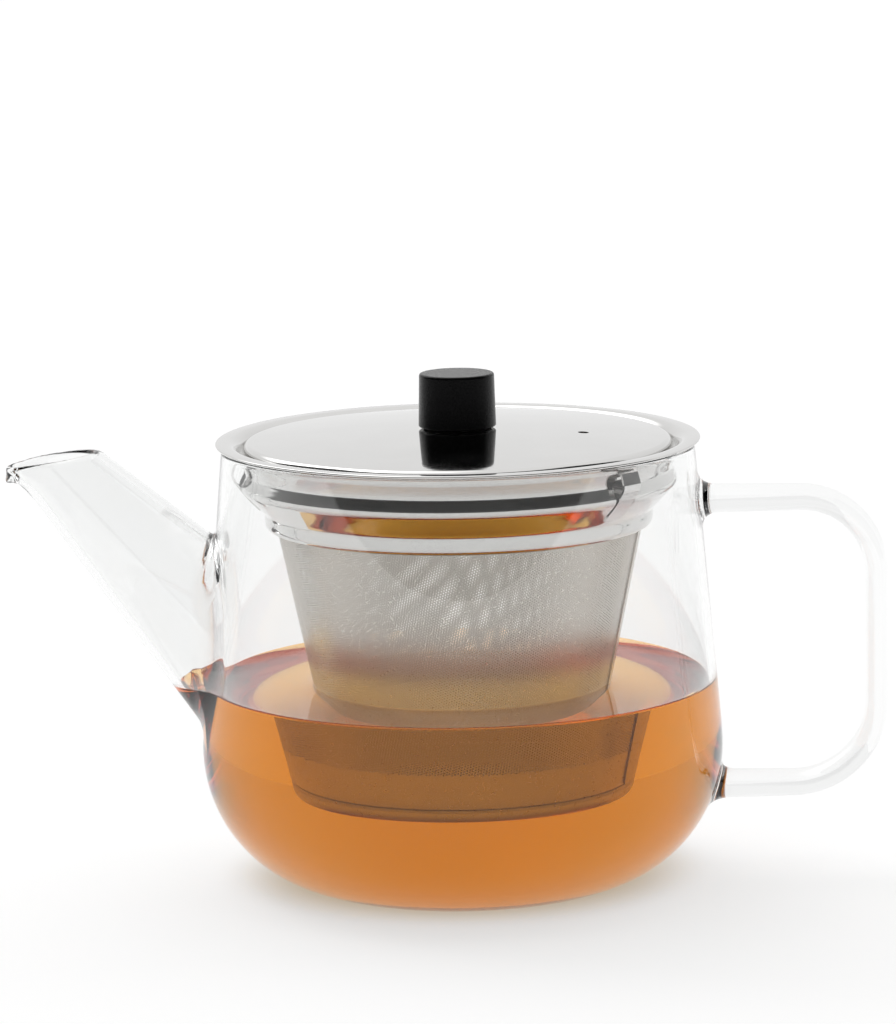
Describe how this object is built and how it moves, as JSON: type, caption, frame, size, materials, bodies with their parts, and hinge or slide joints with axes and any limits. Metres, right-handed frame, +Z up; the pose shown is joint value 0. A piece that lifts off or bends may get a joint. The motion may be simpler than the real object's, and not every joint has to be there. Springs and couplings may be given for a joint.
{
  "type": "glass teapot with infuser",
  "caption": "Clear glass teapot with a straight tapered spout, a square-bent glass handle, a lift-out perforated steel infuser on a flanged collar, and a domed steel lid with a black knob.",
  "frame": {"origin": "middle of the flat base, on the axis of the pot", "axes": "+Z up along the axis of the pot, +X towards the handle, so the spout points along -X"},
  "size_m": [0.219, 0.13, 0.1278],
  "materials": {
    "clear_glass": "clear, fire-polished borosilicate glass",
    "polished_steel": "mirror-polished stainless steel",
    "etched_steel": "satin, finely perforated stainless steel sheet",
    "screw_steel": "bright stainless steel",
    "black_plastic": "fine-grained matte black phenolic",
    "silicone": "matte dark silicone",
    "brass": "turned, knurled"
  },
  "bodies": {
    "pot": {"glass_body": "clear_glass", "glass_spout": "clear_glass", "glass_handle": "clear_glass"},
    "infuser": {"infuser_collar": "polished_steel", "basket_wall": "etched_steel", "basket_base": "etched_steel"},
    "lid": {"lid_disc": "polished_steel", "lid_knob": "black_plastic", "knob_washer": "silicone", "knob_insert": "brass", "knob_screw": "screw_steel"}
  },
  "joints": [
    {"name": "infuser_lift", "type": "slide", "parent": "pot", "child": "infuser", "axis": [0, 0, 1], "range_m": [0, 0.1]},
    {"name": "lid_lift", "type": "slide", "parent": "infuser", "child": "lid", "axis": [0, 0, 1], "range_m": [0, 0.03]}
  ]
}
